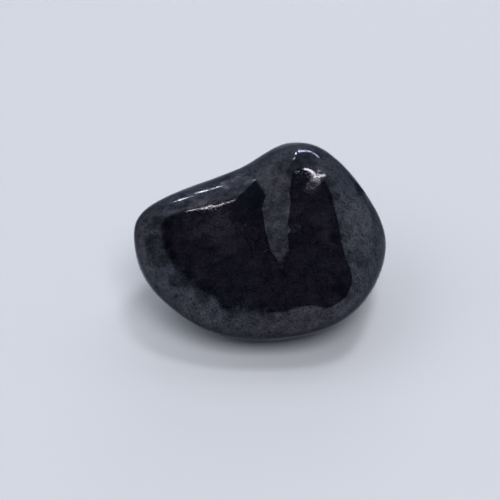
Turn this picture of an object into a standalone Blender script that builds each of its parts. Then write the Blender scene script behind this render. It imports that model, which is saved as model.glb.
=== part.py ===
"""Tumbled shungite: one black stone worn round in a tumbling barrel, lying on its natural resting face.

The stone is star shaped about a point inside it, its heart. Each broad worn face pushes the surface out
to its own distance from the heart along its own direction, and a power mean of those distances rounds the
faces into each other. One valley crosses the crown and runs down the front, with a steep side towards the
hump and a long gentle side towards the left end. The underside is cut level where the stone rests.

Metres, +Z up, +X along the stone. The origin is the middle of the bounding box, on the resting plane.
"""
import bmesh
import bpy
import numpy as np

MM = 0.001
HEART_HEIGHT = 10.0 * MM        # from the lowest point of the rounded underside to the heart
REST_CUT = 0.35 * MM            # how much of the rounded underside the resting face takes off
ROUNDING = 8.2                  # power of the mean: a lower one gives softer edges between the faces
GRID_STEPS = 24                 # cells along each edge of the cube that is blown up into the stone

# Worn faces: azimuth from +X towards +Y and elevation in degrees, then the distance from the heart.
WORN_FACES = {
    "left end": (165, -15, 13.9 * MM),
    "left shoulder": (-150, 10, 13.3 * MM),
    "left underside": (-140, -40, 10.9 * MM),
    "front slope": (-95, 60, 5.4 * MM),
    "front belly": (-95, 30, 7.3 * MM),
    "front right": (-80, 20, 10.4 * MM),
    "front underside": (-90, -40, 10.7 * MM),
    "right end": (-10, -20, 16.0 * MM),
    "right underside": (-45, -40, 13.0 * MM),
    "hump right": (-25, 45, 10.6 * MM),
    "hump top": (35, 75, 12.4 * MM),
    "left crest": (150, 75, 8.7 * MM),
    "back shelf": (125, 30, 12.0 * MM),
    "back left": (130, 0, 14.2 * MM),
    "back": (115, -10, 11.6 * MM),
    "back right": (50, 5, 15.4 * MM),
    "back underside": (90, -45, 12.3 * MM),
    "bottom": (0, -90, HEART_HEIGHT),
}

# Valley: its floor follows the arc between two directions, seen from the heart, in degrees.
VALLEY_START = (88, 54)         # on the back of the crown
VALLEY_END = (-74, -4)          # low on the front, where it has faded out
VALLEY_RUN_OUT = 60             # degrees past the start over which it fades out down the back
VALLEY_REACH_RIGHT = 25         # degrees from the floor to the top of the steep side, at the start
VALLEY_REACH_RIGHT_END = 14     # the same at the end, so that the steep side closes in on the floor
VALLEY_REACH_LEFT = 74          # degrees from the floor to the end of the gentle side
VALLEY_DEPTH = 0.145            # share of the radius taken off at the start
VALLEY_DEEPENING = 0.33         # how much that share grows along the arc, before the fade

SHUNGITE_COLOR = (0.012, 0.012, 0.014, 1.0)
SHUNGITE_ROUGHNESS = 0.2


def clear_scene():
    """Remove every object of the scene the script starts from."""
    for item in list(bpy.data.objects):
        bpy.data.objects.remove(item, do_unlink=True)


def direction(azimuth, elevation):
    """Unit vector of an azimuth and an elevation in degrees."""
    az, el = np.radians(azimuth), np.radians(elevation)
    return np.array([np.cos(az) * np.cos(el), np.sin(az) * np.cos(el), np.sin(el)])


def smooth(x):
    """Smooth step: 0 below 0, 1 above 1, level at both ends."""
    x = np.clip(x, 0.0, 1.0)
    return x * x * (3.0 - 2.0 * x)


def valley(rays):
    """Share of the radius that the valley takes off, for unit rays from the heart.

    Along the arc the share grows in a straight line and is faded to nothing at both ends. Across the arc
    it falls off as (1 - (side / reach)^2)^2, with a short reach on the right and a long one on the left.
    """
    start, end = direction(*VALLEY_START), direction(*VALLEY_END)
    across = np.cross(start, end)
    across /= np.linalg.norm(across)
    length = np.arccos(start @ end)
    along = np.arctan2(rays @ np.cross(across, start), rays @ start) / length
    side = np.degrees(np.arcsin(np.clip(rays @ across, -1.0, 1.0)))
    travelled = np.clip(along, 0.0, 1.0)
    narrowing = VALLEY_REACH_RIGHT + (VALLEY_REACH_RIGHT_END - VALLEY_REACH_RIGHT) * travelled
    reach = np.where(side > 0.0, narrowing, VALLEY_REACH_LEFT)
    run_out = -along * np.degrees(length) / VALLEY_RUN_OUT
    depth = VALLEY_DEPTH + VALLEY_DEEPENING * travelled
    depth = depth * (1.0 - smooth(along)) * (1.0 - smooth(run_out))
    return depth * np.maximum(0.0, 1.0 - (side / reach) ** 2) ** 2


def radius(rays):
    """Distance from the heart to the surface along unit rays: the faces' power mean, less the valley."""
    normals = np.array([direction(az, el) for az, el, _ in WORN_FACES.values()])
    distances = np.array([distance for _, _, distance in WORN_FACES.values()])
    pushes = np.maximum(rays @ (normals / distances[:, None]).T, 0.0)
    rounded = np.sum(pushes ** ROUNDING, axis=-1) ** (-1.0 / ROUNDING)
    return rounded * (1.0 - valley(rays))


def worn_mesh():
    """Cube grid blown up onto the stone's surface, in a frame whose origin is the heart."""
    mesh = bmesh.new()
    bmesh.ops.create_cube(mesh, size=2.0)
    bmesh.ops.subdivide_edges(mesh, edges=mesh.edges[:], cuts=GRID_STEPS - 1, use_grid_fill=True)
    corners = np.array([vert.co[:] for vert in mesh.verts])
    even = np.tan(corners * np.pi / 4.0)          # spaces the cells evenly by angle
    rays = even / np.linalg.norm(even, axis=1)[:, None]
    for vert, place in zip(mesh.verts, rays * radius(rays)[:, None]):
        vert.co = place
    return mesh


def cut_resting_face(mesh):
    """Slice the underside off level, close it with one flat face and set that face on z = 0."""
    lowest = min(vert.co.z for vert in mesh.verts)
    level = lowest + REST_CUT
    everything = mesh.verts[:] + mesh.edges[:] + mesh.faces[:]
    cut = bmesh.ops.bisect_plane(mesh, geom=everything, dist=1e-7, plane_co=(0.0, 0.0, level),
                                 plane_no=(0.0, 0.0, -1.0), clear_outer=True)
    rim = [item for item in cut["geom_cut"] if isinstance(item, bmesh.types.BMEdge)]
    bmesh.ops.edgeloop_fill(mesh, edges=rim)
    bmesh.ops.translate(mesh, verts=mesh.verts[:], vec=(0.0, 0.0, -level))


def centre_plan(mesh):
    """Move the mesh so that the middle of its bounding box, seen from above, is at the origin."""
    places = np.array([vert.co[:] for vert in mesh.verts])
    middle = (places.min(axis=0) + places.max(axis=0)) / 2.0
    bmesh.ops.translate(mesh, verts=mesh.verts[:], vec=(-middle[0], -middle[1], 0.0))


def shungite_material():
    """Polished black shungite, a dense mineraloid carbon."""
    material = bpy.data.materials.new("shungite")
    material.use_nodes = True
    shader = material.node_tree.nodes["Principled BSDF"]
    shader.inputs["Base Color"].default_value = SHUNGITE_COLOR
    shader.inputs["Roughness"].default_value = SHUNGITE_ROUGHNESS
    shader.inputs["Metallic"].default_value = 0.0
    return material


def add_stone():
    """Build the stone as one closed solid, smooth but for the rim of the resting face."""
    mesh = worn_mesh()
    cut_resting_face(mesh)
    centre_plan(mesh)
    bmesh.ops.recalc_face_normals(mesh, faces=mesh.faces[:])
    data = bpy.data.meshes.new("stone")
    mesh.to_mesh(data)
    mesh.free()
    data.shade_smooth()
    data.set_sharp_from_angle(angle=np.radians(30.0))
    data.materials.append(shungite_material())
    stone = bpy.data.objects.new("stone", data)
    bpy.context.scene.collection.objects.link(stone)


clear_scene()
add_stone()
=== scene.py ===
"""Tumbled shungite: one black stone, worn round and polished in a tumbling barrel, lying in a light tent.

The stone's fine surface follows the same worn faces and valley as its solid, with the low waves, pits,
chips and nicks of a real tumbled stone. Its finish is a polish that is worn dull in patches, with shade
and sheen painted into its colour in patches.
"""
import itertools

import bpy
import numpy as np
from bpy.props import FloatProperty, FloatVectorProperty, IntProperty, PointerProperty
from mathutils import Matrix, Vector


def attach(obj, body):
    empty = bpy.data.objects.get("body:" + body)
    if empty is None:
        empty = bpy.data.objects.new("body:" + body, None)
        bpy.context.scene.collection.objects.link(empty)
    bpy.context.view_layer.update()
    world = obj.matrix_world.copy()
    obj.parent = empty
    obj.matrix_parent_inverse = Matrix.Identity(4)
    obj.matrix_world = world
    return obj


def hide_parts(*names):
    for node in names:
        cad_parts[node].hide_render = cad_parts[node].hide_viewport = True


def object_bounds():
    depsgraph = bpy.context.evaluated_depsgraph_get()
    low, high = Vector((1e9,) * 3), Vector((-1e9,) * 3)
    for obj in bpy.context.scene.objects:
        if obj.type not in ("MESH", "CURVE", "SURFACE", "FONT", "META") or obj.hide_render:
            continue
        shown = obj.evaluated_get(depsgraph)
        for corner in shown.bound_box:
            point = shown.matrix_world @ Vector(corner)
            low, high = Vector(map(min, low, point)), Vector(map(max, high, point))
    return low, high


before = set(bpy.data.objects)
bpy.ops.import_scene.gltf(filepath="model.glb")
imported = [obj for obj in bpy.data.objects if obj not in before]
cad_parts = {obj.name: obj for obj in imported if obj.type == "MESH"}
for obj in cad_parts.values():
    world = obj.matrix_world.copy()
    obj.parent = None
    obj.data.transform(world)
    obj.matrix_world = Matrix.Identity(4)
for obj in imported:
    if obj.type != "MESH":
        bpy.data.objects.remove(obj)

bl_info = {
    "name": "Tumbled Shungite",
    "version": (1, 0, 0),
    "blender": (4, 5, 0),
    "location": "View3D > Sidebar > Shungite",
    "description": "Builds a tumbled shungite stone and the light tent it lies in",
    "category": "Add Mesh",
}

MM = 0.001
CAD_LOW, CAD_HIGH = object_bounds()
CAD_NODE = "stone"

# Worn faces: azimuth from +X towards +Y and elevation in degrees, then the distance from the heart.
WORN_FACES = {
    "left end": (165, -15, 13.9 * MM),
    "left shoulder": (-150, 10, 13.3 * MM),
    "left underside": (-140, -40, 10.9 * MM),
    "front slope": (-95, 60, 5.4 * MM),
    "front belly": (-95, 30, 7.3 * MM),
    "front right": (-80, 20, 10.4 * MM),
    "front underside": (-90, -40, 10.7 * MM),
    "right end": (-10, -20, 16.0 * MM),
    "right underside": (-45, -40, 13.0 * MM),
    "hump right": (-25, 45, 10.6 * MM),
    "hump top": (35, 75, 12.4 * MM),
    "left crest": (150, 75, 8.7 * MM),
    "back shelf": (125, 30, 12.0 * MM),
    "back left": (130, 0, 14.2 * MM),
    "back": (115, -10, 11.6 * MM),
    "back right": (50, 5, 15.4 * MM),
    "back underside": (90, -45, 12.3 * MM),
    "bottom": (0, -90, 10.0 * MM),
}

# Broad swells and hollows on the faces: azimuth, elevation and reach in degrees, and height as a share of
# the radius.
SWELLS = {
    "swell on the back of the hump": (55, 43, 19, 0.035),
    "hollow at the foot of the hump": (63, 48, 13, -0.014),
    "swell on the valley side of the hump": (5, 50, 13, 0.018),
    "swell below it": (-22, 44, 6.5, 0.018),
    "swell where the valley runs out": (-61, 31, 14, 0.023),
    "swell on the left shoulder": (-155, 4, 26, 0.012),
    "swell low on the belly": (-102, -16, 17, 0.006),
    "swell left of it": (-115, -8, 12, 0.006),
    "hollow low on the front": (-59, -9, 12, -0.007),
    "hollow low on the right": (-34, 10, 14, -0.007),
}

# Round marks left by knocks: azimuth and elevation seen from the heart, radius and depth.
KNOCKS = {
    "nick beside the valley": (50, 73, 0.45 * MM, 0.040 * MM),
    "second nick beside the valley": (-40, 74, 0.35 * MM, 0.030 * MM),
    "pit low on the front": (-67, -3, 0.35 * MM, 0.03 * MM),
}

# Straight-sided marks: azimuth and elevation of the corners, anticlockwise seen from outside.
CHIP_CORNERS = ((29, 24), (19, 21), (26, 13))
LOWER_CHIP_CORNERS = ((27, 15), (25, 11), (32, 10))
# Painted shade: a notch-shaped dark reflection painted onto the crest.
PAINTED_NOTCH_CORNERS = ((143, 64), (117, 76), (47, 72), (56, 65), (72, 60), (84, 53))

# Each chip's share of the chip depth, how dark each mark of painted shade is, and the degrees over which it
# fades in.
# The chip is darkened as painted shade in its hollow.
CHIPS = ((CHIP_CORNERS, 1.0), (LOWER_CHIP_CORNERS, 0.5))
PAINTED_SHADE_MARKS = ((PAINTED_NOTCH_CORNERS, 1.0), (CHIP_CORNERS, 0.9))
PAINTED_SHADE_BORDER = 1.2

# Noise of the skin's relief and of the borders of its marks: wavelength, seed, and share of the height, the
# reach or, for straight-sided marks, of one degree.
WAVES = (7.0 * MM, 11, 1.0)
RIPPLES = (2.4 * MM, 12, 1.0)
SHORT_RIPPLES = (1.0 * MM, 13, 0.45)
KNOCK_RAGGEDNESS = (0.9 * MM, 16, 0.45)
CHIP_RAGGEDNESS = (0.45 * MM, 17, 0.35)
PAINTED_SHADE_RAGGEDNESS = (0.9 * MM, 18, 0.50)
PATCH_RAGGEDNESS = ((2.2 * MM, 21, 0.20), (0.9 * MM, 22, 0.20))

# Scattered pits: spacing, largest radius, share of the cells that hold a pit, and seed. Those of the worn
# patches have a share of the pit depth.
PITS = (1.6 * MM, 0.35 * MM, 0.35, 14)
WORN_PITS = (0.6 * MM, 0.24 * MM, 0.6, 15)
WORN_PIT_DEPTH = 0.4

# Shares of a patch's reach: up to where it is whole, and over which it then fades out.
PATCH_CORE = 0.6
PATCH_FADE = 0.5

# Patches of the skin: azimuth, elevation and reach in degrees, and amount from 0 to 1.
DULL_PATCHES = {
    "left underside": (-145, -14, 30, 0.45),
    "front underside": (-95, -24, 26, 0.45),
    "front of the hump": (24, 45, 4.5, 0.45),
    "along the crest": (119, 48, 6, 0.75),
    "behind the crest": (107, 51, 8, 1.00),
    "top of the crest": (96, 52, 7, 1.00),
    "right end": (0, -5, 30, 0.25),
    "back": (100, 0, 40, 0.40),
}
# Patches of painted shade: dark reflection and shade painted into the colour along the crest, round the
# hump's highlights, on the edges of the end faces and on the undersides. They are also made matt.
PAINTED_SHADE_PATCHES = {
    "below the crest": (150, 76, 14, 0.30),
    "foot of the crest": (110, 84, 12, 0.45),
    "head of the valley": (-60, 81, 10, 0.45),
    "along the crest": (107, 51, 9, 0.60),
    "top of that crest": (96, 50, 7, 0.50),
    "valley side": (10, 66, 18, 0.38),
    "lower valley side": (-45, 45, 14, 0.38),
    "left of the crest": (180, 38, 12, 0.30),
    "hump left": (46, 50, 5, 0.80),
    "hump right": (24, 38, 6, 0.55),
    "hump top": (47, 43, 7, 0.50),
    "hump shoulder": (60, 49, 6, 0.25),
    "right shoulder": (-14, 8, 7, 0.50),
    "upper edge of the right face": (14, 34, 4, 0.60),
    "edge of the right face": (-5, 25, 5, 0.45),
    "middle of the right edge": (-14, 22, 5, 0.60),
    "lower edge of the right face": (-20, 15, 5, 0.50),
    "corner of the right face": (-34, 3, 6, 0.62),
    "valley side, left": (21, 70, 7, 0.50),
    "upper edge of the left face": (-178, 25, 6, 0.60),
    "edge of the left face": (-166, 19, 6, 0.80),
    "middle of the left edge": (-157, 14, 6, 0.60),
    "lower edge of the left face": (-141, 7, 7, 0.65),
    "foot of the left face": (-125, 1, 7, 0.62),
    "foot of the front": (-103, -5, 7, 0.62),
    "foot of the front, right": (-80, -7, 7, 0.62),
    "left end": (-172, 10, 30, 0.10),
    "left underside": (-145, -20, 26, 0.20),
    "front underside": (-90, -24, 26, 0.15),
    "back left": (120, 20, 22, 0.40),
}
# Patches of painted sheen: a paler reflection painted into the colour where the polish shows bright
# reflection and glow, such as below the hump's highlight and on the valley sides.
PAINTED_SHEEN_PATCHES = {
    "back of the left crest": (145, 36, 10, 0.40),
    "top of the left crest": (163, 30, 7, 0.35),
    "back of the crown": (96, 38, 9, 0.35),
    "back of the hump": (64, 38, 9, 0.30),
    "behind the crest": (92, 48, 12, 0.35),
    "head of the valley": (68, 50, 9, 0.35),
    "front slope": (-168, 52, 22, 1.00),
    "foot of the front slope": (-130, 44, 12, 0.50),
    "band on the front of the hump": (-4, 34, 7, 0.70),
    "middle of that band": (-15, 25, 7, 0.65),
    "foot of that band": (-34, 11, 7, 0.30),
    "valley side, upper right": (21, 55, 4, 0.60),
    "valley side, right": (1, 53, 6, 0.75),
    "valley side, lower right": (-21, 46, 5, 0.90),
    "below the front of the hump": (22, 45, 6, 0.60),
    "upper edge of the left face": (180, 34, 7, 0.80),
    "below the left crest": (178, 41, 5, 0.60),
    "lower front": (-80, 5, 14, 0.10),
    "left end": (-172, 2, 16, 0.25),
    "right end": (0, 12, 28, 0.38),
    "spot on the right end": (-2, 16, 9, 0.45),
    "lower right": (-30, -6, 14, 0.20),
    "back of the left end": (150, 10, 16, 0.35),
}
PLUM_PATCHES = {
    "valley": (-67, 42, 30, 1.00),
    "upper valley": (0, 64, 24, 1.00),
    "head of the valley": (60, 60, 20, 1.00),
    "behind the crest": (98, 46, 18, 1.00),
    "left of the hump": (72, 46, 12, 1.00),
    "front slope": (-160, 52, 26, 0.70),
    "lower front": (-67, -8, 22, 1.00),
    "front right": (-15, 28, 14, 0.80),
    "left end": (-175, 20, 20, 0.70),
    "back right": (40, -5, 30, 0.80),
}
SKIN_PATCHES = {
    "dullness": DULL_PATCHES,
    "painted_shade": PAINTED_SHADE_PATCHES,
    "plumness": PLUM_PATCHES,
    "painted_sheen": PAINTED_SHEEN_PATCHES,
}

# Noise of the finish: size of its blobs, detail, roughness and distortion.
FINISH_NOISE = {
    "cloud": (5.0 * MM, 3.0, 0.50, 0.0),
    "mottle": (1.3 * MM, 6.0, 0.82, 0.0),
    "grain": (0.30 * MM, 3.0, 0.70, 0.0),
    "grit": (0.16 * MM, 1.0, 0.50, 0.0),
    "vein course": (2.8 * MM, 5.0, 0.60, 1.2),
    "vein ground": (4.0 * MM, 2.0, 0.50, 0.0),
    "speck": (0.34 * MM, 2.0, 0.50, 0.0),
}

# Ramps of the finish: where the value starts and stops changing what it drives, then the start and the end
# of what it drives.
FINISH_RAMPS = {
    "vein line": (0.0, 0.035, 1.0, 0.0),
    "vein ground": (0.42, 0.60, 0.0, 1.0),
    "speck": (0.57, 0.68, 0.0, 1.0),
    "warm cloud": (0.45, 0.65, 0.0, 0.50),
    "painted sheen cloud": (0.30, 0.55, 0.5, 1.0),
    "bright mottle": (0.51, 0.66, 0.0, 0.55),
    "dark mottle": (0.52, 0.34, 0.0, 0.85),
    "dull mottle": (0.45, 0.70, 0.0, 0.25),
    "dark grit": (0.50, 0.36, 0.0, 0.45),
    "bright grit": (0.52, 0.68, 0.0, 0.35),
    "bright grain": (0.50, 0.66, 0.0, 0.80),
    "rough grain": (0.48, 0.68, 0.0, 0.05),
    "scuffed patch": (0.1, 0.9, 0.0, 1.0),
    "raised patch": (0.0, 1.0, 0.10, 1.0),
    "solid painted shade": (0.65, 0.85, 0.0, 0.9),
    "broken painted shade": (0.62, 0.48, 0.5, 1.0),
    "matt painted shade": (0.80, 1.0, 0.0, 0.5),
}

# How strongly veins and specks darken the colour, partly as painted shade in their cracks and pits, roughen
# the polish and sink into the bump.
VEIN_COLOR, VEIN_DEPTH = 0.7, 0.15
SPECK_COLOR, SPECK_ROUGHNESS, SPECK_DEPTH = 0.7, 0.20, 0.10
BUMP_STRENGTH, BUMP_HEIGHT = 0.4, 0.008 * MM

# The tent's dark opening, in degrees: tilt of its axis from level, then the middle and the reach to the low
# and the high side, sideways and upwards. Its right side leans in by a share of the height above the axis,
# and a side that isn't there has a reach past the full turn.
OPENING_TILT = 79.0
OPENING_SIDEWAYS = (25.0, 44.0, 40.0)
OPENING_UPWARDS = (-44.0, 26.0, 76.0)
OPENING_LEAN = 0.8
NO_SIDE = 400.0

# Power that rounds the opening's corners, and the shares of its reach over which the frame and the cloth
# take over from what is inside them.
OPENING_ROUNDNESS = 10.0
FRAME_BORDER = (0.82, 0.93)
CLOTH_BORDER = (0.95, 1.05)

# Lamps: one end and the other end in metres, width, colour, and radiance.
WARM, COOL = (1.0, 0.93, 0.90), (0.95, 0.98, 1.0)
LAMPS = {
    "lamp_overhead_left": ((-0.076, 0.139, 0.450), (0.040, 0.121, 0.450), 0.010, WARM, 11.0),
    "lamp_overhead": ((0.078, 0.162, 0.450), (0.190, 0.158, 0.450), 0.022, WARM, 20.0),
    "lamp_overhead_right": ((0.184, 0.150, 0.420), (0.280, 0.240, 0.350), 0.014, WARM, 16.0),
    "lamp_behind_left": ((-0.087, 0.450, 0.200), (-0.062, 0.430, 0.200), 0.030, COOL, 22.0),
    "lamp_far_left": ((-0.107, 0.325, 0.240), (-0.091, 0.365, 0.240), 0.024, COOL, 20.0),
    "lamp_behind_right": ((-0.034, 0.430, 0.180), (0.088, 0.422, 0.180), 0.032, COOL, 18.0),
    "lamp_far_right": ((0.088, 0.425, 0.180), (0.135, 0.263, 0.180), 0.024, COOL, 12.0),
}

# Broad soft lights for the floor: middle in metres, width, and brightness.
FILLS = {
    "fill_front": ((0.14, -0.49, 0.80), 0.40, 16.6),
    "fill_above": ((0.12, 0.03, 0.80), 0.15, 36.0),
    "fill_left": ((-0.70, 0.00, 0.60), 0.80, 1.8),
}


class ShungiteShape(bpy.types.PropertyGroup):
    """Broad shape of the stone."""
    rounding: FloatProperty(
        name="Rounding",
        description="Power of the mean that rounds the worn faces into each other",
        default=8.2, min=2.0, max=40.0)
    rest_cut: FloatProperty(
        name="Resting Cut",
        description="How much of the rounded underside the level resting face takes off",
        default=0.35 * MM, min=0.0, max=2.0 * MM, unit="LENGTH", precision=5)
    valley_start: FloatVectorProperty(
        name="Valley Start", description="Azimuth and elevation of the valley's start, in degrees",
        size=2, default=(88.0, 54.0))
    valley_end: FloatVectorProperty(
        name="Valley End", description="Azimuth and elevation where the valley has faded out, in degrees",
        size=2, default=(-74.0, -4.0))
    valley_run_out: FloatProperty(
        name="Valley Run-Out", description="Degrees past its start over which the valley fades out",
        default=60.0, min=1.0, max=120.0)
    valley_reach_right: FloatVectorProperty(
        name="Steep Side",
        description="Degrees from the valley's floor to the top of its steep side, start and end",
        size=2, default=(25.0, 14.0))
    valley_reach_left: FloatProperty(
        name="Gentle Side",
        description="Degrees from the valley's floor to the end of its gentle side",
        default=74.0, min=1.0, max=90.0)
    valley_depth: FloatProperty(
        name="Valley Depth", description="Share of the radius that the valley takes off at its start",
        default=0.145, min=0.0, max=0.5)
    valley_deepening: FloatProperty(
        name="Valley Deepening", description="How much that share grows along the valley, before the fade",
        default=0.33, min=0.0, max=1.0)
    grid_steps: IntProperty(
        name="Grid Steps", description="Cells along each edge of the cube that is blown up into the stone",
        default=126, min=16, max=128)


class ShungiteWear(bpy.types.PropertyGroup):
    """Fine relief of the stone's skin."""
    wave_height: FloatProperty(
        name="Wave Height", description="Height of the low waves that tumbling leaves",
        default=0.020 * MM, min=0.0, max=0.5 * MM, unit="LENGTH", precision=6)
    ripple_height: FloatProperty(
        name="Ripple Height", description="Height of the short ripples on the waves",
        default=0.016 * MM, min=0.0, max=0.2 * MM, unit="LENGTH", precision=6)
    pit_depth: FloatProperty(
        name="Pit Depth", description="Depth of the deepest scattered pits",
        default=0.012 * MM, min=0.0, max=0.3 * MM, unit="LENGTH", precision=6)
    chip_depth: FloatProperty(
        name="Chip Depth", description="Depth of the angular chip on the right shoulder",
        default=0.26 * MM, min=0.0, max=1.0 * MM, unit="LENGTH", precision=5)


class ShungiteFinish(bpy.types.PropertyGroup):
    """Sheen and gloss of the stone, whose carbon reflects like a very dark metal, with colours of painted
    shade and painted sheen.
    """
    slate: FloatVectorProperty(
        name="Slate", description="Blue-grey reflection of the polished carbon",
        subtype="COLOR", size=3, default=(0.0515, 0.0525, 0.0645), min=0.0, max=1.0)
    plum: FloatVectorProperty(
        name="Plum", description="Warmer reflection of the plum-coloured patches",
        subtype="COLOR", size=3, default=(0.053, 0.048, 0.057), min=0.0, max=1.0)
    # Vein colour: the dark tone of veins, mottle and grit, and painted shade in the cracks and pits of the
    # veins and specks.
    vein: FloatVectorProperty(
        name="Vein", description="Dark reflection in the veins, specks and cracks",
        subtype="COLOR", size=3, default=(0.012, 0.013, 0.018), min=0.0, max=1.0)
    grain: FloatVectorProperty(
        name="Grain", description="Bright reflection of the grains where the polish is worn",
        subtype="COLOR", size=3, default=(0.098, 0.102, 0.122), min=0.0, max=1.0)
    # Painted sheen: paler colour that stands in for bright reflection in the patches of painted sheen.
    painted_sheen_color: FloatVectorProperty(
        name="Bloom", description="Paler reflection of the hazy patches",
        subtype="COLOR", size=3, default=(0.124, 0.124, 0.139), min=0.0, max=1.0)
    # Painted shade: near-black colour of the dark reflection painted into the patches of painted shade, the
    # notch and the chip.
    painted_shade_color: FloatVectorProperty(
        name="Soot", description="Reflection of the matt, sooty patches",
        subtype="COLOR", size=3, default=(0.0065, 0.0083, 0.0135), min=0.0, max=1.0)
    edge: FloatVectorProperty(
        name="Edge", description="Tint of the reflection at grazing angles",
        subtype="COLOR", size=3, default=(0.50, 0.52, 0.55), min=0.0, max=1.0)
    polished: FloatProperty(
        name="Polished Roughness", description="Roughness where the polish is whole",
        subtype="FACTOR", default=0.065, min=0.0, max=1.0)
    worn: FloatProperty(
        name="Worn Roughness", description="Roughness where the polish is worn dull",
        subtype="FACTOR", default=0.42, min=0.0, max=1.0)


class ShungiteTent(bpy.types.PropertyGroup):
    """Floor, light and camera."""
    floor_color: FloatVectorProperty(
        name="Floor Colour", description="Colour of the pale floor",
        subtype="COLOR", size=3, default=(0.334, 0.346, 0.376), min=0.0, max=1.0)
    tent_color: FloatVectorProperty(
        name="Tent Colour", description="Light of the tent's bright cloth",
        subtype="COLOR", size=3, default=(0.70, 0.76, 0.84), min=0.0, max=2.0)
    tent_level: FloatProperty(
        name="Tent Level", description="Brightness of the tent's cloth", default=1.0, min=0.0)
    opening_color: FloatVectorProperty(
        name="Opening Colour", description="What the tent's open front shows: a dim room",
        subtype="COLOR", size=3, default=(0.145, 0.138, 0.200), min=0.0, max=1.0)
    frame_color: FloatVectorProperty(
        name="Frame Colour", description="Dark frame round the tent's open front",
        subtype="COLOR", size=3, default=(0.085, 0.082, 0.125), min=0.0, max=1.0)
    fill_level: FloatProperty(
        name="Fill Level", description="Brightness of the broad soft lights", default=1.0, min=0.0)
    camera_elevation: FloatProperty(
        name="Camera Elevation", description="How steeply the camera looks down",
        subtype="ANGLE", default=np.radians(40.0))
    camera_distance: FloatProperty(
        name="Camera Distance", description="From the camera to the point that it looks at",
        unit="LENGTH", default=0.165)
    camera_aim: FloatVectorProperty(
        name="Camera Aim", description="Point that the camera looks at",
        subtype="TRANSLATION", size=3, default=(-1.37 * MM, -2.25 * MM, 10.07 * MM), precision=5)
    lens: FloatProperty(name="Lens", description="Focal length in millimetres", default=100.0)


def direction(azimuth, elevation):
    """Unit vector of an azimuth and an elevation in degrees."""
    az, el = np.radians(azimuth), np.radians(elevation)
    return np.array([np.cos(az) * np.cos(el), np.sin(az) * np.cos(el), np.sin(el)])


def smooth(x):
    """Smooth step: 0 below 0, 1 above 1, level at both ends."""
    x = np.clip(x, 0.0, 1.0)
    return x * x * (3.0 - 2.0 * x)


def soft_dome(distance, reach):
    """1 at distance 0, falling as (1 - (distance / reach)^2)^2 to 0 at the reach."""
    return np.maximum(0.0, 1.0 - (distance / reach) ** 2) ** 2


def angle_from(rays, azimuth, elevation):
    """Angle in degrees between each unit ray and one direction."""
    return np.degrees(np.arccos(np.clip(rays @ direction(azimuth, elevation), -1.0, 1.0)))


def blown_up_cube(steps):
    """Unit rays and quads of a cube grid blown up to a sphere, its seams shared.

    A ray is (tan a, tan b, 1) made unit length, with a and b in even steps of angle across each of the
    cube's six sides. Quads turn outwards.
    """
    line = np.arange(steps + 1)
    u, v = np.meshgrid(line, line, indexing="ij")
    corner = (u * (steps + 1) + v)[:-1, :-1].ravel()
    cell = np.stack([corner, corner + steps + 1, corner + steps + 2, corner + 1], axis=1)
    sheets, quads = [], []
    for axis, side in itertools.product(range(3), (0, steps)):
        sheet = np.stack([np.full_like(u, side), u, v], axis=-1).reshape(-1, 3)
        quads.append((cell if side else cell[:, ::-1]) + len(sheets) * len(sheet))
        sheets.append(np.roll(sheet, axis, axis=1))
    lattice, shared = np.unique(np.concatenate(sheets), axis=0, return_inverse=True)
    spread = np.tan((lattice * 2.0 / steps - 1.0) * np.pi / 4.0)
    rays = spread / np.linalg.norm(spread, axis=1)[:, None]
    return rays, shared.reshape(-1)[np.concatenate(quads)]


def valley_share(rays, shape):
    """Share of the radius that the valley takes off, for unit rays from the heart.

    Along the arc the share grows in a straight line and is faded to nothing at both ends. Across the arc
    it falls off as a soft dome, with a short reach on the right, which narrows, and a long one on the left.
    """
    start, end = direction(*shape.valley_start), direction(*shape.valley_end)
    across = np.cross(start, end)
    across /= np.linalg.norm(across)
    length = np.arccos(start @ end)
    along = np.arctan2(rays @ np.cross(across, start), rays @ start) / length
    side = np.degrees(np.arcsin(np.clip(rays @ across, -1.0, 1.0)))
    travelled = np.clip(along, 0.0, 1.0)
    reach = np.where(side > 0.0, np.interp(travelled, (0.0, 1.0), shape.valley_reach_right),
                     shape.valley_reach_left)
    run_out = -along * np.degrees(length) / shape.valley_run_out
    depth = shape.valley_depth + shape.valley_deepening * travelled
    return depth * (1.0 - smooth(along)) * (1.0 - smooth(run_out)) * soft_dome(side, reach)


def worn_radius(rays, shape):
    """Distance from the heart to the surface: power mean of the worn faces, less the valley, with swells.

    A ray's push against a face is the cosine between them over the face's distance. Each push is raised to
    the rounding's power, and the radius is their sum to the power of minus one over the rounding.
    """
    normals = np.array([direction(az, el) for az, el, _ in WORN_FACES.values()])
    distances = np.array([distance for _, _, distance in WORN_FACES.values()])
    pushes = np.maximum(rays @ (normals / distances[:, None]).T, 0.0)
    rounded = np.sum(pushes ** shape.rounding, axis=-1) ** (-1.0 / shape.rounding)
    swell = sum(height * soft_dome(angle_from(rays, azimuth, elevation), reach)
                for azimuth, elevation, reach, height in SWELLS.values())
    return rounded * (1.0 - valley_share(rays, shape)) * (1.0 + swell)


def lattice_noise(points, wavelength, seed):
    """Smooth random values from -1 to 1.

    Random numbers stand on the corners of a cubic lattice, and each point blends its cell's eight corners
    with the step 6t^5 - 15t^4 + 10t^3 along each axis.
    """
    tile = 64
    numbers = np.random.default_rng(seed).uniform(-1.0, 1.0, (tile, tile, tile))
    place = points / wavelength
    cell = np.floor(place).astype(int)
    t = place - cell
    blend = t * t * t * (t * (t * 6.0 - 15.0) + 10.0)
    total = np.zeros(len(points))
    for corner in itertools.product((0, 1), repeat=3):
        weight = np.prod(np.where(corner, blend, 1.0 - blend), axis=1)
        total += weight * numbers[tuple(((cell + corner) % tile).T)]
    return total


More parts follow.
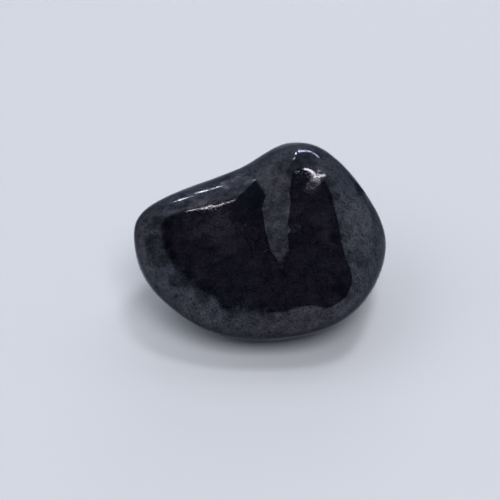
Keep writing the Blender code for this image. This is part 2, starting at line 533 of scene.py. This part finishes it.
def skin_noise(points, noise):
    """Lattice noise of one of the skin's wavelengths, times its share."""
    wavelength, seed, share = noise
    return share * lattice_noise(points, wavelength, seed)


def scattered_pits(points, spacing, radius, share, seed):
    """Depth from 0 to 1 of round pits scattered over the surface.

    Each cell of a cubic lattice may hold one pit at a random place, with a random radius of half to all
    of the largest. A pit is a soft dome pressed in.
    """
    tile = 64
    numbers = np.random.default_rng(seed).random((tile, tile, tile, 5))
    cell = np.floor(points / spacing).astype(int)
    depth = np.zeros(len(points))
    for step in itertools.product((-1, 0, 1), repeat=3):
        drawn = numbers[tuple(((cell + step) % tile).T)]
        centre = (cell + step + drawn[:, :3]) * spacing
        reach = radius * (0.5 + 0.5 * drawn[:, 3])
        dent = soft_dome(np.linalg.norm(points - centre, axis=1), reach)
        depth = np.maximum(depth, np.where(drawn[:, 4] < share, dent * reach / radius, 0.0))
    return depth


def skin_patches(rays, points, patches):
    """How much of one kind of patch lies on each point, from 0 to 1.

    A patch is whole over its core and fades out beyond it. Noise makes its border ragged.
    """
    amount = np.zeros(len(rays))
    ragged = sum(skin_noise(points, raggedness) for raggedness in PATCH_RAGGEDNESS)
    for azimuth, elevation, reach, most in patches.values():
        share = angle_from(rays, azimuth, elevation) / reach + ragged
        amount = np.maximum(amount, most * (1.0 - smooth((share - PATCH_CORE) / PATCH_FADE)))
    return amount


def depth_inside(rays, corners):
    """Degrees from each unit ray to a straight-sided mark's nearest side, negative outside the mark."""
    ends = np.array([direction(*corner) for corner in corners])
    sides = np.cross(ends, np.roll(ends, -1, axis=0))
    sides /= np.linalg.norm(sides, axis=1)[:, None]
    return np.degrees(np.arcsin(np.clip(np.min(rays @ sides.T, axis=1), -1.0, 1.0)))


def fine_relief(rays, points, worn, wear):
    """Height of the skin over the worn shape: waves and ripples, less pits and the marks of knocks."""
    height = wear.wave_height * skin_noise(points, WAVES)
    height += wear.ripple_height * (skin_noise(points, RIPPLES) + skin_noise(points, SHORT_RIPPLES))
    height -= wear.pit_depth * scattered_pits(points, *PITS)
    height -= WORN_PIT_DEPTH * wear.pit_depth * worn * scattered_pits(points, *WORN_PITS)
    chipped = skin_noise(points, CHIP_RAGGEDNESS)
    for corners, share in CHIPS:
        inside = depth_inside(rays, corners)
        height -= share * wear.chip_depth * np.clip((inside + chipped) / inside.max(), 0.0, 1.0)
    for azimuth, elevation, radius, depth in KNOCKS.values():
        middle = points[np.argmax(rays @ direction(azimuth, elevation))]
        distance = np.linalg.norm(points - middle, axis=1)
        ragged = 1.0 + skin_noise(points, KNOCK_RAGGEDNESS)
        height -= depth * soft_dome(distance * ragged, radius)
    return height


def stone_surface(shape, wear):
    """Points, quads and patches of the whole stone, on its resting face and centred on its solid."""
    rays, quads = blown_up_cube(shape.grid_steps)
    broad = rays * worn_radius(rays, shape)[:, None]
    skin = {name: skin_patches(rays, broad, patches) for name, patches in SKIN_PATCHES.items()}
    # Painted shade: the notch and the chip are darkened together with the patches of painted shade.
    ragged = skin_noise(broad, PAINTED_SHADE_RAGGEDNESS)
    for corners, most in PAINTED_SHADE_MARKS:
        painted_dark = most * smooth((depth_inside(rays, corners) + ragged) / PAINTED_SHADE_BORDER + 0.5)
        skin["painted_shade"] = np.maximum(skin["painted_shade"], painted_dark)
    points = broad + rays * fine_relief(rays, broad, skin["dullness"], wear)[:, None]
    level = broad[:, 2].min() + shape.rest_cut
    points[:, 2] = np.maximum(points[:, 2] - level, 0.0)
    low, high = points.min(axis=0), points.max(axis=0)
    points[:, :2] += (np.array(CAD_LOW + CAD_HIGH)[:2] - low[:2] - high[:2]) / 2.0
    return points, quads, skin


def mesh_object(name, points, quads):
    """Smooth-shaded mesh object with its place in its mesh."""
    mesh = bpy.data.meshes.new(name)
    mesh.vertices.add(len(points))
    mesh.vertices.foreach_set("co", points.ravel())
    mesh.loops.add(quads.size)
    mesh.loops.foreach_set("vertex_index", quads.ravel())
    mesh.polygons.add(len(quads))
    mesh.polygons.foreach_set("loop_start", np.arange(0, quads.size, quads.shape[1]))
    mesh.polygons.foreach_set("use_smooth", np.ones(len(quads), dtype=bool))
    mesh.update(calc_edges=True)
    mesh.validate()
    item = bpy.data.objects.new(name, mesh)
    bpy.context.scene.collection.objects.link(item)
    return item


class NodeDesk:
    """Shorthand for laying out a node tree."""

    def __init__(self, tree):
        self.tree = tree

    def node(self, kind, inputs=(), **settings):
        """Add a node, set its properties, then set or link its inputs by name or number."""
        node = self.tree.nodes.new(kind)
        for key, value in settings.items():
            setattr(node, key, value)
        for key, value in dict(inputs).items():
            if isinstance(value, bpy.types.NodeSocket):
                self.tree.links.new(value, node.inputs[key])
            else:
                node.inputs[key].default_value = value
        return node

    def math(self, operation, first, second=0.0, clamp=False):
        """Result of one sum."""
        node = self.node("ShaderNodeMath", {0: first, 1: second}, operation=operation, use_clamp=clamp)
        return node.outputs[0]

    def ramp(self, value, low, high, start=0.0, end=1.0):
        """Smooth step of a value from low to high, giving start to end."""
        limits = {"From Min": low, "From Max": high, "To Min": start, "To Max": end}
        node = self.node("ShaderNodeMapRange", {"Value": value, **limits}, interpolation_type="SMOOTHSTEP")
        return node.outputs["Result"]

    def noise(self, place, size, detail, roughness, distortion):
        """Noise whose blobs are about one size across, in metres."""
        node = self.node("ShaderNodeTexNoise",
                         {"Vector": place, "Scale": 1.0 / size, "Detail": detail, "Roughness": roughness,
                          "Distortion": distortion})
        return node.outputs["Fac"]

    def mix_color(self, share, first, second):
        """Blend of two colours."""
        node = self.node("ShaderNodeMix", {"Factor": share}, data_type="RGBA")
        for socket, value in ((node.inputs[6], first), (node.inputs[7], second)):
            if isinstance(value, bpy.types.NodeSocket):
                self.tree.links.new(value, socket)
            else:
                socket.default_value = (*value, 1.0)
        return node.outputs[2]


def skin_marks(desk):
    """Values from 0 to 1 of the finish's noise, and of the veins and specks made from it.

    A vein runs where its course's noise passes through one half, on some parts of the ground only.
    """
    place = desk.node("ShaderNodeTexCoord").outputs["Object"]
    marks = {name: desk.noise(place, *noise) for name, noise in FINISH_NOISE.items()}
    ridge = desk.math("ABSOLUTE", desk.math("SUBTRACT", marks["vein course"], 0.5))
    line = desk.ramp(ridge, *FINISH_RAMPS["vein line"])
    ground = desk.ramp(marks["vein ground"], *FINISH_RAMPS["vein ground"])
    marks["vein"] = desk.math("MULTIPLY", line, ground)
    marks["speck"] = desk.ramp(marks["speck"], *FINISH_RAMPS["speck"])
    return marks


def skin_color(desk, skin, marks, finish):
    """Reflection of the carbon: slate and plum under painted sheen, with mottling, veins, specks, grit,
    wear and painted shade.
    """
    def share(mark, ramp):
        return desk.ramp(marks[mark], *FINISH_RAMPS[ramp])

    warmth = desk.math("ADD", skin["plumness"], share("cloud", "warm cloud"), clamp=True)
    # Painted sheen: the colour is paled where the sheen is painted, in clouds.
    painted_sheen_share = desk.math("MULTIPLY", skin["painted_sheen"], share("cloud", "painted sheen cloud"))
    scuffs = desk.math("MULTIPLY", share("grain", "bright grain"),
                       desk.ramp(skin["dullness"], *FINISH_RAMPS["scuffed patch"]))
    # Painted shade: the colour turns to the painted shade colour as far as the patches reach, mottled where
    # they are weak.
    solid = desk.ramp(skin["painted_shade"], *FINISH_RAMPS["solid painted shade"])
    broken = desk.math("MAXIMUM", solid, share("mottle", "broken painted shade"))
    color = desk.mix_color(warmth, finish.slate, finish.plum)
    color = desk.mix_color(painted_sheen_share, color, finish.painted_sheen_color)
    color = desk.mix_color(share("mottle", "bright mottle"), color, finish.grain)
    color = desk.mix_color(share("mottle", "dark mottle"), color, finish.vein)
    # Veins and specks darken the colour: partly their own tone, partly painted shade in their cracks and
    # pits.
    color = desk.mix_color(desk.math("MULTIPLY", marks["vein"], VEIN_COLOR), color, finish.vein)
    color = desk.mix_color(desk.math("MULTIPLY", marks["speck"], SPECK_COLOR), color, finish.vein)
    color = desk.mix_color(share("grit", "dark grit"), color, finish.vein)
    color = desk.mix_color(share("grit", "bright grit"), color, finish.grain)
    color = desk.mix_color(scuffs, color, finish.grain)
    return desk.mix_color(desk.math("MULTIPLY", skin["painted_shade"], broken), color, finish.painted_shade_color)


def skin_roughness(desk, skin, marks, finish):
    """Roughness: glassy polish, worn dull in patches, with rougher grain and specks, and matt where the
    shade is painted.
    """
    mottled = desk.ramp(marks["mottle"], *FINISH_RAMPS["dull mottle"])
    patchy = desk.math("ADD", skin["dullness"], mottled, clamp=True)
    roughness = desk.ramp(patchy, 0.0, 1.0, finish.polished, finish.worn)
    roughness = desk.math("ADD", roughness, desk.ramp(marks["grain"], *FINISH_RAMPS["rough grain"]))
    roughness = desk.math("ADD", roughness, desk.math("MULTIPLY", marks["speck"], SPECK_ROUGHNESS))
    return desk.math("ADD", roughness, desk.ramp(skin["painted_shade"], *FINISH_RAMPS["matt painted shade"]))


def skin_bump(desk, skin, marks):
    """Surface direction over the grain, strongest where the polish is worn, the specks and the veins."""
    raised = desk.ramp(skin["dullness"], *FINISH_RAMPS["raised patch"])
    relief = desk.math("MULTIPLY", marks["grain"], raised)
    relief = desk.math("SUBTRACT", relief, desk.math("MULTIPLY", marks["speck"], SPECK_DEPTH))
    relief = desk.math("SUBTRACT", relief, desk.math("MULTIPLY", marks["vein"], VEIN_DEPTH))
    bump = desk.node("ShaderNodeBump",
                     {"Strength": BUMP_STRENGTH, "Distance": BUMP_HEIGHT, "Height": relief})
    return bump.outputs["Normal"]


def polished_shungite(finish):
    """Near-black carbon with a glassy polish: mottled, veined, cracked and worn dull in patches, with
    painted shade and painted sheen.
    """
    material = bpy.data.materials.new("shungite_polish")
    material.use_nodes = True
    desk = NodeDesk(material.node_tree)
    shader = material.node_tree.nodes["Principled BSDF"]
    shader.inputs["Metallic"].default_value = 1.0
    shader.inputs["Specular Tint"].default_value = (*finish.edge, 1.0)
    marks = skin_marks(desk)
    skin = {name: desk.node("ShaderNodeAttribute", attribute_name=name).outputs["Fac"]
            for name in SKIN_PATCHES}
    desk.tree.links.new(skin_color(desk, skin, marks, finish), shader.inputs["Base Color"])
    desk.tree.links.new(skin_roughness(desk, skin, marks, finish), shader.inputs["Roughness"])
    desk.tree.links.new(skin_bump(desk, skin, marks), shader.inputs["Normal"])
    return material


def light_tent(tent):
    """World light: a bright tent all round, with a dark opening overhead and towards the camera.

    The opening is a box in two angles about its own axis, with rounded corners: the power mean of the
    angles, each over its reach, is under 1 inside it. Above the axis its right side leans in. A darker
    frame runs along the inside of its border.
    """
    world = bpy.data.worlds.new("light_tent")
    world.use_nodes = True
    desk = NodeDesk(world.node_tree)
    background = world.node_tree.nodes["Background"]
    ray = desk.node("ShaderNodeTexCoord").outputs["Generated"]

    def along(vector):
        dot = desk.node("ShaderNodeVectorMath", {0: ray, 1: vector}, operation="DOT_PRODUCT")
        return dot.outputs["Value"]

    tilt = np.radians(OPENING_TILT)
    ahead = along((0.0, -np.cos(tilt), np.sin(tilt)))
    over = along((0.0, np.sin(tilt), np.cos(tilt)))
    right = along((1.0, 0.0, 0.0))
    flat = desk.math("SQRT", desk.math("ADD", desk.math("MULTIPLY", ahead, ahead),
                                       desk.math("MULTIPLY", right, right)))
    sideways = desk.math("DEGREES", desk.math("ARCTAN2", right, ahead))
    upwards = desk.math("DEGREES", desk.math("ARCTAN2", over, flat))

    def share(angle, middle, reach_low, reach_high):
        offset = desk.math("SUBTRACT", angle, middle)
        low = desk.math("DIVIDE", offset, -reach_low)
        high = desk.math("DIVIDE", offset, reach_high)
        return desk.math("POWER", desk.math("MAXIMUM", low, high), OPENING_ROUNDNESS)

    middle, _, reach_right = OPENING_SIDEWAYS
    lean = desk.math("MULTIPLY", desk.math("MAXIMUM", upwards, 0.0), OPENING_LEAN)
    across = desk.math("MAXIMUM", share(sideways, *OPENING_SIDEWAYS),
                       share(desk.math("ADD", sideways, lean), middle, NO_SIDE, reach_right))
    box = desk.math("ADD", across, share(upwards, *OPENING_UPWARDS))
    box = desk.math("POWER", box, 1.0 / OPENING_ROUNDNESS)
    color = desk.mix_color(desk.ramp(box, *FRAME_BORDER), tent.opening_color, tent.frame_color)
    color = desk.mix_color(desk.ramp(box, *CLOTH_BORDER), color, tent.tent_color)
    desk.tree.links.new(color, background.inputs["Color"])
    background.inputs["Strength"].default_value = tent.tent_level
    bpy.context.scene.world = world


def add_lamp(name, start, end, width, color, radiance):
    """Strip lamp from one point to another, facing the stone, in whose polish it shows as a bright line."""
    start, end = Vector(start), Vector(end)
    length = (end - start).length
    lamp = bpy.data.lights.new(name, "AREA")
    lamp.shape = "RECTANGLE"
    lamp.size, lamp.size_y = length, width
    lamp.color = color
    lamp.energy = radiance * np.pi * length * width
    along = (end - start).normalized()
    across = ((start + end) / 2.0).cross(along).normalized()
    item = bpy.data.objects.new(name, lamp)
    item.matrix_world = Matrix.Translation((start + end) / 2.0) @ Matrix(
        (along, across, along.cross(across))).transposed().to_4x4()
    bpy.context.scene.collection.objects.link(item)
    return item


def add_fill(name, middle, width, radiance):
    """Broad soft light, which lights the floor and doesn't show in the polish."""
    middle, half = Vector(middle), Vector((width / 2.0, 0.0, 0.0))
    fill = add_lamp(name, middle - half, middle + half, width, (1.0, 0.99, 0.98), radiance)
    fill.visible_glossy = False


def add_floor(tent):
    """Wide level floor, a round sheet of rings that is far larger than any view of the stone."""
    rings, spokes = 24, 64
    first_ring, rim = 0.01, 4.0
    radius = np.concatenate([[0.0], np.geomspace(first_ring, rim, rings)])
    turn = np.arange(spokes) * 2.0 * np.pi / spokes
    reach, angle = np.meshgrid(radius, turn, indexing="ij")
    points = np.stack([reach * np.cos(angle), reach * np.sin(angle), np.zeros_like(reach)], axis=-1)
    index = np.arange(points.shape[0] * spokes).reshape(-1, spokes)
    inner, outer = index[:-1], index[1:]
    quads = np.stack([inner, outer, np.roll(outer, -1, axis=1), np.roll(inner, -1, axis=1)], axis=-1)
    floor = mesh_object("floor", points.reshape(-1, 3), quads.reshape(-1, 4))
    material = bpy.data.materials.new("floor_card")
    material.use_nodes = True
    shader = material.node_tree.nodes["Principled BSDF"]
    shader.inputs["Base Color"].default_value = (*tent.floor_color, 1.0)
    shader.inputs["Roughness"].default_value = 0.9
    shader.inputs["Specular IOR Level"].default_value = 0.1
    floor.data.materials.append(material)


def add_camera(tent):
    """Camera in front of the stone, looking down at it."""
    data = bpy.data.cameras.new("camera")
    data.lens = tent.lens
    data.sensor_width = 36.0
    data.clip_start, data.clip_end = 0.01, 20.0
    camera = bpy.data.objects.new("camera", data)
    back = Vector((0.0, -np.cos(tent.camera_elevation), np.sin(tent.camera_elevation)))
    camera.location = Vector(tent.camera_aim) + back * tent.camera_distance
    camera.rotation_euler = back.to_track_quat("Z", "Y").to_euler()
    bpy.context.scene.collection.objects.link(camera)
    bpy.context.scene.camera = camera


class SHUNGITE_OT_add_stone(bpy.types.Operator):
    """Build the stone's fine surface in place of its plain solid"""
    bl_idname = "shungite.add_stone"
    bl_label = "Add Stone"

    def execute(self, context):
        scene = context.scene
        points, quads, skin = stone_surface(scene.shungite_shape, scene.shungite_wear)
        stone = mesh_object("shungite_stone", points, quads)
        for name, amount in skin.items():
            attribute = stone.data.attributes.new(name, "FLOAT", "POINT")
            attribute.data.foreach_set("value", amount)
        stone.data.materials.append(polished_shungite(scene.shungite_finish))
        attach(stone, "root")
        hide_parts(CAD_NODE)
        return {"FINISHED"}


class SHUNGITE_OT_add_stage(bpy.types.Operator):
    """Set up the floor, the light tent, its lamps and the camera"""
    bl_idname = "shungite.add_stage"
    bl_label = "Add Stage"

    def execute(self, context):
        tent = context.scene.shungite_tent
        add_floor(tent)
        light_tent(tent)
        for name, (start, end, width, color, radiance) in LAMPS.items():
            add_lamp(name, start, end, width, color, radiance)
        for name, (middle, width, radiance) in FILLS.items():
            add_fill(name, middle, width, radiance * tent.fill_level)
        add_camera(tent)
        context.scene.view_settings.view_transform = "Standard"
        return {"FINISHED"}


class SHUNGITE_PT_panel(bpy.types.Panel):
    """Sizes, colours and build steps of the stone"""
    bl_idname = "SHUNGITE_PT_panel"
    bl_label = "Tumbled Shungite"
    bl_space_type = "VIEW_3D"
    bl_region_type = "UI"
    bl_category = "Shungite"

    def draw(self, context):
        layout = self.layout
        for name in GROUPS:
            group = getattr(context.scene, name)
            box = layout.box()
            for key in group.__annotations__:
                box.prop(group, key)
        layout.operator(SHUNGITE_OT_add_stone.bl_idname)
        layout.operator(SHUNGITE_OT_add_stage.bl_idname)


GROUPS = {
    "shungite_shape": ShungiteShape,
    "shungite_wear": ShungiteWear,
    "shungite_finish": ShungiteFinish,
    "shungite_tent": ShungiteTent,
}
CLASSES = (*GROUPS.values(), SHUNGITE_OT_add_stone, SHUNGITE_OT_add_stage, SHUNGITE_PT_panel)


def register():
    for item in CLASSES:
        bpy.utils.register_class(item)
    for name, group in GROUPS.items():
        setattr(bpy.types.Scene, name, PointerProperty(type=group))


def unregister():
    for name in GROUPS:
        delattr(bpy.types.Scene, name)
    for item in reversed(CLASSES):
        bpy.utils.unregister_class(item)


def main():
    """Register, then build everything in order."""
    register()
    bpy.ops.shungite.add_stone()
    bpy.ops.shungite.add_stage()


if __name__ == "__main__":
    main()
